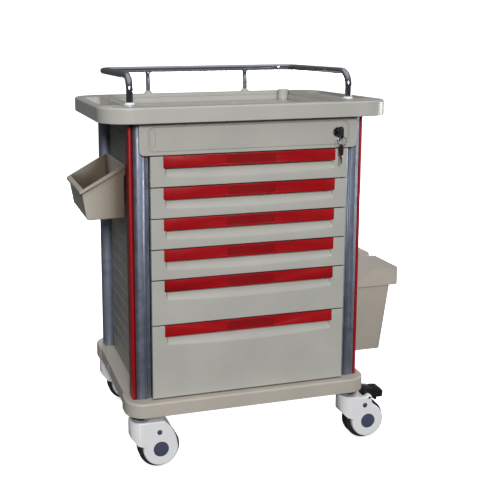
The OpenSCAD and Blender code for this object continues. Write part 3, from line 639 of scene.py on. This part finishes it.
def base():
    low, high = cabinet_box("base")
    bm = cad_mesh("base")

    def outer(p):
        return on_outline(p, high, corner=50, side=8)

    round_edges(bm, 5.0, 4, lambda p: p.z > high.z - 0.1 and outer(p))
    round_edges(bm, 3.0, 3, lambda p: p.z < low.z + 0.1 and outer(p))
    piece("base_moulding", bm, WARM, "abs_warm", "cabinet", "base")


posts()
accent_strips()
fascia()
base()


# ------------------------------------------------------------------ drawers

# The slot of the red strip, down from the front's top edge, and the scooped pull under it; the
# lip over the strip, and the width that a sudden change of depth takes up
STRIP_H = 27.3
STRIP_HALF = 210.3
STRIP_DEEP = 5.0
PULL_HALF = 207.0
PULL_DROP = 47.0
PULL_SAG = 7.0
PULL_DEEP = 15.0
PULL_ROWS = 10
TOP_LIP = 4.0
STEP = 0.05
EDGE_R = 1.6
EDGE_STEPS = (0.0, 0.3, 0.8, EDGE_R)
# The label holder's outlines, from its foot in to its window: width, height, corner, depth
HOLDER = ((115.4, 18.4, 2.0, 1.2), (115.4, 18.4, 2.0, 0.25), (113.0, 16.0, 1.2, 0.25),
          (112.4, 15.4, 1.0, 0.7))


def edge_round(u, v):
    """How far the face falls back, at distances u and v from the two nearest edges."""
    a, b = max(0.0, EDGE_R - u), max(0.0, EDGE_R - v)
    return EDGE_R - math.sqrt(max(0.0, EDGE_R ** 2 - a * a - b * b))


def front_columns(half):
    """The x of each column of points, closest at the ends of the pull and of the strip."""
    right = [PULL_HALF * k / 24 for k in range(25)] + [PULL_HALF - c for c in (0.8, 2, 3.5, 5)]
    right += [PULL_HALF + STEP, STRIP_HALF, STRIP_HALF + STEP] + [half - s for s in EDGE_STEPS]
    right.sort()
    return [-x for x in reversed(right) if x > 0] + right


def front_rows(x, tall):
    """Height and depth of each point up one column: plain face, scooped pull, strip's slot."""
    reach = min(1.0, abs(x) / PULL_HALF)
    crease = tall - PULL_DROP - PULL_SAG * (1 - reach * reach)
    strip_z = tall - STRIP_H
    side = min(1.0, max(0.0, (PULL_HALF - abs(x)) / 5.0))
    side = side * side * (3 - 2 * side)
    rows = [(s, 0.0) for s in EDGE_STEPS] + [(crease * 0.5, 0.0), (crease, 0.0)]
    for k in range(1, PULL_ROWS + 1):
        share = k / PULL_ROWS
        rise = (strip_z - crease) * k / PULL_ROWS
        rows.append((crease + rise, PULL_DEEP * side * share ** 1.35))
    deep = STRIP_DEEP if abs(x) < STRIP_HALF + 0.01 else 0.0
    behind = max(deep, PULL_DEEP * side)
    rows += [(strip_z + STEP, behind), (tall - TOP_LIP, behind), (tall - (TOP_LIP - STEP), deep)]
    return rows + [(tall - s, deep) for s in reversed(EDGE_STEPS)]


def drawer_front(i):
    low, high = cabinet_box(f"drawer_{i}_front")
    half, tall = high.x, high.z - low.z
    bm = bmesh.new()
    grid = []
    for x in front_columns(half):
        line = []
        for z, depth in front_rows(x, tall):
            sunk = depth > 0.5
            fall = 0.0 if sunk else edge_round(half - abs(x), min(z, tall - z))
            line.append(bm.verts.new((x, low.y + depth + fall, low.z + z)))
        grid.append(line)
    for a, b in zip(grid, grid[1:]):
        for k in range(len(a) - 1):
            bm.faces.new((a[k], b[k], b[k + 1], a[k + 1]))
    border = [line[0] for line in grid] + grid[-1][1:]
    border += [line[-1] for line in reversed(grid[:-1])] + list(reversed(grid[0][1:-1]))
    rear = [bm.verts.new((v.co.x, high.y, v.co.z)) for v in border]
    for k in range(len(border)):
        n = (k + 1) % len(border)
        bm.faces.new((border[k], rear[k], rear[n], border[n]))
    bm.faces.new(rear)
    piece(f"drawer_{i}_face", bm, FRONT, "abs_beige", f"drawer_{i}", f"drawer_{i}_front")


def drawer_label(i):
    """The label holder in the middle of the strip: a plate with a raised rim round its window."""
    low, high = cabinet_box(f"drawer_{i}_handle")
    mid = (low.z + high.z) / 2
    bm = bmesh.new()
    rings = []
    for w, h, r, deep in HOLDER:
        outline = rounded_rect(w, h, r, 0, mid)
        rings.append([bm.verts.new((x, low.y + deep, z)) for x, z in outline])
    for a, b in zip(rings, rings[1:]):
        for k in range(len(a)):
            n = (k + 1) % len(a)
            bm.faces.new((a[k], a[n], b[n], b[k]))
    bm.faces.new(rings[0])
    bm.faces.new(rings[-1])
    piece(f"drawer_{i}_label", bm, LABEL, "abs_red", f"drawer_{i}")


for number in range(1, 7):
    drawer_front(number)
    drawer_label(number)


# ------------------------------------------------------------------ casters

STEM_X, STEM_Y = 268.0, 195.0
WHEEL_Z = 50.0
WHEEL_ROOM = 53
GAP_HALF = 18.5
SHELL_HALF = 30.0
SHELL_TOP = 119.5
SHELL_EDGE = 4.0
COVER_R = 42.0
PLAN_CORNER = 28.4
EAR_R = 7.5
PIN_X, PIN_Z = 46.0, 112.0
DOT_X, DOT_X_BRAKED, DOT_Z = 40.0, 34.0, 93
# The room for the brake pedal, from the stem and from the floor
PEDAL_FROM, PEDAL_TO, PEDAL_UNDER = 32, 142, 98
# Profiles of the discs on the cheeks: (radius, height over the cheek)
HUB_CAP = [(18.6, -1.5), (18.6, 0.1), (17.8, 0.5), (16.8, 0.3), (16.2, 0.5), (10, 0.9), (0, 1.1)]
DOT_CAP = [(6.2, -1.5), (6.2, 0.0), (5.6, 0.3), (4.8, 0.2), (0, 0.3)]
PIN_HEAD = [(3.4, -2), (3.4, 0.4), (2.8, 0.9), (0, 1.0)]
# Heights below and above every shell, and distances sideways past it and past the wheel
UNDER, OVER, BEYOND, PAST_WHEEL = -10, 140, 40, 98


def shoulder(start, pull, end):
    """Points of a smooth bend from start to end, drawn towards pull, without the start."""
    points = []
    for k in range(1, 13):
        t = k / 12
        points.append(tuple((1 - t) ** 2 * a + 2 * t * (1 - t) * b + t * t * c
                            for a, b, c in zip(start, pull, end)))
    return points


def shell_outline(trail, braked):
    """Side view of a cheek, from the stem: the swivel block and the round wheel cover."""
    left = [(-28, SHELL_TOP), (-28, 86), (-26.4, 80), (-11, 63)]
    cover = (trail + 1, WHEEL_Z + 1.5, COVER_R)
    if braked:
        ear = arc(PIN_X, PIN_Z, EAR_R, 0, 150, 10)
        return left + arc(*cover, 172, 416, 40) + [(57, 93), (54, 100)] + ear \
            + [(36.5, 115), (34.5, 114.5)]
    bend = shoulder((83.5, 62.5), (80.0, 97.0), (52.0, SHELL_TOP))
    return left + arc(*cover, 172, 375, 34) + bend


def cheeks(outline):
    """The side view as one solid, as thick as the caster and with round edges, facing +Z."""
    curve, spline = poly_curve("cheek", "2D", [(x, z, 0) for x, z in outline])
    spline.use_cyclic_u = True
    curve.fill_mode = "BOTH"
    curve.extrude = SHELL_HALF - SHELL_EDGE
    curve.bevel_depth = SHELL_EDGE
    curve.bevel_resolution = 3
    curve.offset = -SHELL_EDGE
    bm = take_mesh(put_in_scene("cheek", curve))
    bmesh.ops.remove_doubles(bm, verts=bm.verts, dist=0.01)
    return bm


def shell_cutters(stem_x, stem_y, axle_x, braked):
    """What a shell is cut with: the gap between the cheeks and the round corners of its plan."""
    gap = [(0, -GAP_HALF), (WHEEL_ROOM, -GAP_HALF), (WHEEL_ROOM, GAP_HALF), (0, GAP_HALF)]
    wheel = bmesh.new()
    lathe(wheel, gap, (axle_x, stem_y, WHEEL_Z), "y", 64)
    low_y, high_y = stem_y - GAP_HALF, stem_y + GAP_HALF
    cutters = [wheel,
               block((stem_x - BEYOND, low_y, UNDER), (axle_x, high_y, WHEEL_Z + 10)),
               block((axle_x, low_y, UNDER), (axle_x + PAST_WHEEL, high_y, WHEEL_Z))]
    if braked:
        cutters.append(block((stem_x + PEDAL_FROM, low_y, PEDAL_UNDER),
                             (stem_x + PEDAL_TO, high_y, OVER)))
    for side in (-1, 1):
        turns = [math.pi / 2 * k / 14 for k in range(15)]
        corner = [(stem_x - PLAN_CORNER * math.sin(a), stem_y + side * SHELL_HALF * math.cos(a))
                  for a in turns]
        corner += [(stem_x - BEYOND, stem_y), (stem_x - BEYOND, stem_y + side * BEYOND),
                   (stem_x, stem_y + side * BEYOND)]
        cutter = bmesh.new()
        prism(cutter, corner, upright, UNDER, OVER)
        cutters.append(cutter)
    return cutters


def caster(place, sx, sy):
    """A caster's shell, the discs on its cheeks and, with a brake, its pin and pedal ribs."""
    braked = f"brake_{place}" in frame["bodies"]
    body = f"caster_{place}"
    hub_low, hub_high = cabinet_box(f"{body}_hub")
    stem_x, stem_y = sx * STEM_X, sy * STEM_Y
    axle_x = (hub_low.x + hub_high.x) / 2
    bm = cheeks(shell_outline(axle_x - stem_x, braked))
    bm.transform(Matrix.Translation((stem_x, stem_y, 0)) @ Matrix.Rotation(math.pi / 2, 4, "X"))
    bm = cut(bm, shell_cutters(stem_x, stem_y, axle_x, braked))
    piece(f"{body}_cover", bm, NYLON, "abs_pale", body, f"{body}_shell")

    caps = bmesh.new()
    dot_x = DOT_X_BRAKED if braked else DOT_X
    for side in (-1, 1):
        face_y = stem_y + side * SHELL_HALF
        lathe(caps, HUB_CAP, (axle_x + 1, face_y, WHEEL_Z + 1), "y", 48, side)
        lathe(caps, DOT_CAP, (stem_x + dot_x, face_y, DOT_Z), "y", 28, side)
    piece(f"{body}_caps", caps, SLATE, "black_plastic", body)
    if braked:
        pins = bmesh.new()
        for side in (-1, 1):
            face_y = stem_y + side * SHELL_HALF
            lathe(pins, PIN_HEAD, (stem_x + PIN_X, face_y, PIN_Z), "y", 24, side)
        piece(f"{body}_pin", pins, CHROME, "chrome", body)
        pedal_ribs(place)


def pedal_ribs(place):
    """Raised ribs across the tread of a brake pedal, which slopes up towards the stem."""
    low, high = cabinet_box(f"brake_pedal_{place}")
    first, pitch, slope = 4.5, 4.2, 0.12
    bm = bmesh.new()
    for k in range(4):
        x = high.x - first - pitch * k
        rib = rounded_rect(2.0, high.y - low.y - 7, 0.9, x, (low.y + high.y) / 2, 4)
        top = high.z - 5.5 + slope * (high.x - x)
        prism(bm, rib, upright, top - 3, top)
    piece(f"brake_{place}_ribs", bm, BLACK, "black_plastic", f"brake_{place}")


for spot, sx, sy in (("front_left", -1, -1), ("front_right", 1, -1), ("back_left", -1, 1),
                     ("back_right", 1, 1)):
    caster(spot, sx, sy)


# ------------------------------------------------------------------ side fittings

def side_box():
    low, high = cabinet_box("side_box")
    bm = cad_mesh("side_box")
    round_edges(bm, 4.0, 4, lambda p: p.z < low.z + 0.1 and p.x < high.x - 1)
    round_edges(bm, 1.0, 2, everywhere)
    # The tub's inside is darkened with painted shade by its material
    piece("side_tub", bm, SHADED_BOX, "abs_warm", "side_box", "side_box")


def bin_lid(name):
    low, high = cabinet_box(name)
    bm = cad_mesh(name)
    round_edges(bm, 4.0, 4, lambda p: p.z > high.z - 0.05 and p.x > low.x + 20)
    round_edges(bm, 0.8, 2, everywhere)
    piece(f"{name}_cover", bm, TUB, "abs_warm", name, name)


side_box()
for which in ("bin_front_lid", "bin_back_lid"):
    bin_lid(which)


# ------------------------------------------------------------------ screws and the spare key

# Profile of a screw head with a socket: (radius, height over the post)
SCREW = [(5, -0.5), (5, 1.2), (4.3, 2.4), (3.2, 3.0), (2.5, 3.0), (2.3, 1.0), (0, 1.0)]
SCREW_X = 265.5
SCREW_END = 60


def screws():
    bm = bmesh.new()
    low, high = cabinet_box("post_back_right")
    for x in (-SCREW_X, SCREW_X):
        for z in (low.z + SCREW_END, (low.z + high.z) / 2, high.z - SCREW_END):
            lathe(bm, SCREW, (x, high.y, z), "y", 28)
    piece("post_screws", bm, ZINC, "zinc", "cabinet", "frame_screws")


def spare_key():
    """The second key, which hangs edge-on from the split ring."""
    low, high = cabinet_box("key_ring")
    x, y = (low.x + high.x) / 2, (low.y + high.y) / 2 + 3
    hang = low.z + 1.8

    def edge_on(u, v, t):
        return (x + t, u, v)

    wide, tall, corner = 17, 26, 6.5
    head_half, blade_half = 1.6, 0.9
    bm = bmesh.new()
    head = rounded_rect(wide, tall, corner, y, hang - 10)
    prism(bm, head, edge_on, -head_half, head_half)
    round_edges(bm, 0.8, 3, everywhere)
    piece("spare_key_head", bm, BLACK, "black_plastic", "lock")
    blade = bmesh.new()
    top, tip, half_wide = hang - 22, hang - 44, 3.4
    first_tooth, pitch = 4.5, 3.6
    edge = [(y - half_wide, top), (y - half_wide, tip + 3), (y, tip), (y + 2.2, tip + 2.2)]
    for k in range(4):
        z = tip + first_tooth + pitch * k
        edge += [(y + half_wide, z), (y + 2.0, z + 1.4), (y + half_wide, z + 2.6)]
    edge.append((y + half_wide, top))
    prism(blade, edge, edge_on, -blade_half, blade_half)
    piece("spare_key_blade", blade, CHROME, "chrome", "lock")


screws()
spare_key()


# ------------------------------------------------------------------ stage, light, camera

# Radius of the floor, and how far from a wheel its painted shadow reaches, in metres
FLOOR_R = 80.0
FLOOR_SHADOW = 0.14
# The sky that lights the object: place from the ground up, and brightness
SKY = ((0.0, 0.08), (0.25, 0.13), (0.62, 0.30), (0.85, 0.85))
# The camera's lens in mm, its shift, its angles in radians and its place in cabinet mm
LENS, SHIFT = 59.05, (0.16, -0.15)
YAW, PITCH, ROLL = 0.25675, 0.16341, -0.009
CAMERA_PLACE = (-656.52, -1972.06, 1001.0)


def floor():
    """A white floor that lights and mirrors nothing, with a painted shadow that greys it close
    under the wheels.
    """
    bm = bmesh.new()
    bmesh.ops.create_circle(bm, cap_ends=True, segments=96, radius=FLOOR_R)
    obj = add_object("floor", bm)
    s = Shader("floor")
    paint = s.ramp(s.noise(0.6), [(0.3, (0.86, 0.86, 0.86, 1)), (0.7, (0.88, 0.88, 0.88, 1))])
    s.link(paint, s.bsdf.inputs["Base Color"])
    s.bsdf.inputs["Roughness"].default_value = 0.8
    # Painted contact shadow: the emission greys where the object stands near the floor
    shade = s.add("ShaderNodeAmbientOcclusion", samples=8)
    shade.inputs["Distance"].default_value = FLOOR_SHADOW
    shadowed_glow = s.ramp(shade.outputs["AO"], [(0.0, (0.55, 0.55, 0.56, 1)), (0.85, WHITE)])
    s.link(shadowed_glow, s.bsdf.inputs["Emission Color"])
    s.bsdf.inputs["Emission Strength"].default_value = 0.95
    clad(obj, s.mat)
    obj.visible_diffuse = False
    obj.visible_glossy = False


def lamp(name, place, target, size, power):
    """A white area lamp that faces its target."""
    data = bpy.data.lights.new(name, "AREA")
    data.shape = "RECTANGLE"
    data.size, data.size_y = size
    data.energy = power
    obj = put_in_scene(name, data)
    obj.location = place
    aim = Vector(target) - Vector(place)
    obj.rotation_euler = aim.to_track_quat("-Z", "Y").to_euler()


def world():
    """A dim sky, brighter overhead, that lights the object, and plain white for the camera."""
    studio = bpy.data.worlds.new("studio")
    bpy.context.scene.world = studio
    studio.use_nodes = True
    tree = studio.node_tree
    dim = tree.nodes["Background"]
    coord = tree.nodes.new("ShaderNodeTexCoord")
    parts = tree.nodes.new("ShaderNodeSeparateXYZ")
    ramp = tree.nodes.new("ShaderNodeValToRGB")
    elements = ramp.color_ramp.elements
    for stop, (place, level) in enumerate(SKY):
        if stop > 1:
            elements.new(place)
        elements[stop].position = place
        elements[stop].color = (0.93 * level, 0.95 * level, level, 1)
    tree.links.new(coord.outputs["Generated"], parts.inputs[0])
    tree.links.new(parts.outputs["Z"], ramp.inputs["Fac"])
    tree.links.new(ramp.outputs["Color"], dim.inputs["Color"])
    white = tree.nodes.new("ShaderNodeBackground")
    white.inputs["Color"].default_value = WHITE
    path = tree.nodes.new("ShaderNodeLightPath")
    mix = tree.nodes.new("ShaderNodeMixShader")
    tree.links.new(path.outputs["Is Camera Ray"], mix.inputs["Fac"])
    tree.links.new(dim.outputs[0], mix.inputs[1])
    tree.links.new(white.outputs[0], mix.inputs[2])
    tree.links.new(mix.outputs[0], tree.nodes["World Output"].inputs["Surface"])


def camera():
    """The photographer's place, left of the middle and a little above the guard rail."""
    forward = Vector((math.sin(YAW) * math.cos(PITCH), math.cos(YAW) * math.cos(PITCH),
                      -math.sin(PITCH)))
    level = Vector((math.cos(YAW), -math.sin(YAW), 0))
    upward = level.cross(forward)
    right = level * math.cos(ROLL) + upward * math.sin(ROLL)
    up = upward * math.cos(ROLL) - level * math.sin(ROLL)
    data = bpy.data.cameras.new("camera")
    data.sensor_width = 36
    data.lens = LENS
    data.shift_x, data.shift_y = SHIFT
    data.clip_start, data.clip_end = 0.05, 200
    obj = put_in_scene("camera", data)
    obj.matrix_world = Matrix((right, up, -forward)).transposed().to_4x4()
    obj.location = at(*CAMERA_PLACE)
    bpy.context.scene.camera = obj


floor()
centre = (cad_low + cad_high) / 2
# Name, place, what it faces, width and height in metres, power in watts
lamp("key", at(-1270, -5200, 2700), centre, (1.4, 1.4), 232)
lamp("back", (1.1, 3.2, 0.45), centre, (1.6, 0.8), 60)
lamp("side", (3.0, 0.4, 0.45), centre, (1.2, 0.8), 24)
world()
camera()
bpy.context.scene.view_settings.view_transform = "Standard"

bpy.context.view_layer.update()
